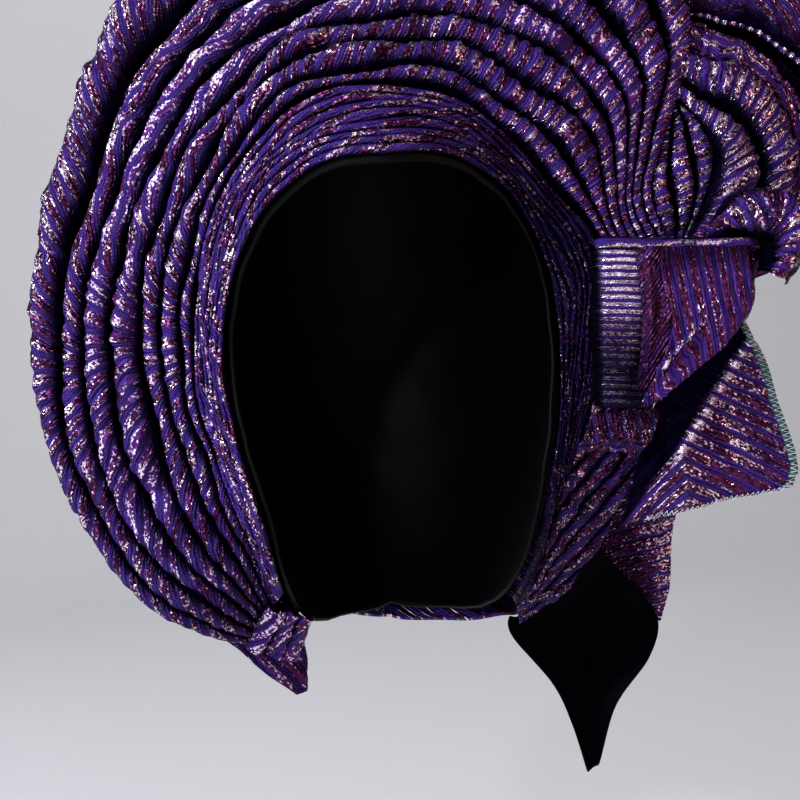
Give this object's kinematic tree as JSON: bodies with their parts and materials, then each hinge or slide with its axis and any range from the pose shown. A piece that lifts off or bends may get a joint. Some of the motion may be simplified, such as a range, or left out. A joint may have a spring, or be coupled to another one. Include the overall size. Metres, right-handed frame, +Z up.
{
  "type": "tied gele head tie",
  "caption": "Head tie of striped purple cloth, pleated round an open face, with a fan of rolled folds as brim, a knot, a bow and loose tails at one side.",
  "frame": {"origin": "crown of the head hollow, the highest point inside the cap, where the tie sits on a head", "axes": "+Z up, the face opening looks toward -Y, the knot and bow are on +X"},
  "size_m": [0.3924, 0.1967, 0.4109],
  "materials": {
    "striped_cloth": "ribbed royal blue-violet cloth with woven stripes",
    "lurex_cloth": "the same cloth where its metallic bronze-pink stripes show most",
    "black_lining": "smooth black satin lining"
  },
  "bodies": {
    "root": {"back_wrap": "striped_cloth", "brim_fold_2": "striped_cloth", "brim_fold_4": "striped_cloth", "brim_fold_6": "striped_cloth", "side_wrap": "striped_cloth", "bow_fold_1": "striped_cloth", "bow_fold_3": "striped_cloth", "bow_fold_5": "striped_cloth", "knot_lobe_1": "striped_cloth", "knot_lobe_2": "striped_cloth", "knot_lobe_3": "striped_cloth", "knot_wrap": "striped_cloth", "rosette": "striped_cloth", "nape_fold": "striped_cloth", "left_tail": "striped_cloth", "face_band": "lurex_cloth", "brim_fold_1": "lurex_cloth", "brim_fold_3": "lurex_cloth", "brim_fold_5": "lurex_cloth", "brim_fold_7": "lurex_cloth", "bow_fold_2": "lurex_cloth", "bow_fold_4": "lurex_cloth", "under_flap": "lurex_cloth", "corner_flap": "lurex_cloth", "right_tail": "lurex_cloth", "inner_cap_left": "black_lining", "inner_cap_right": "black_lining", "tail_lining": "black_lining"}
  },
  "joints": []
}
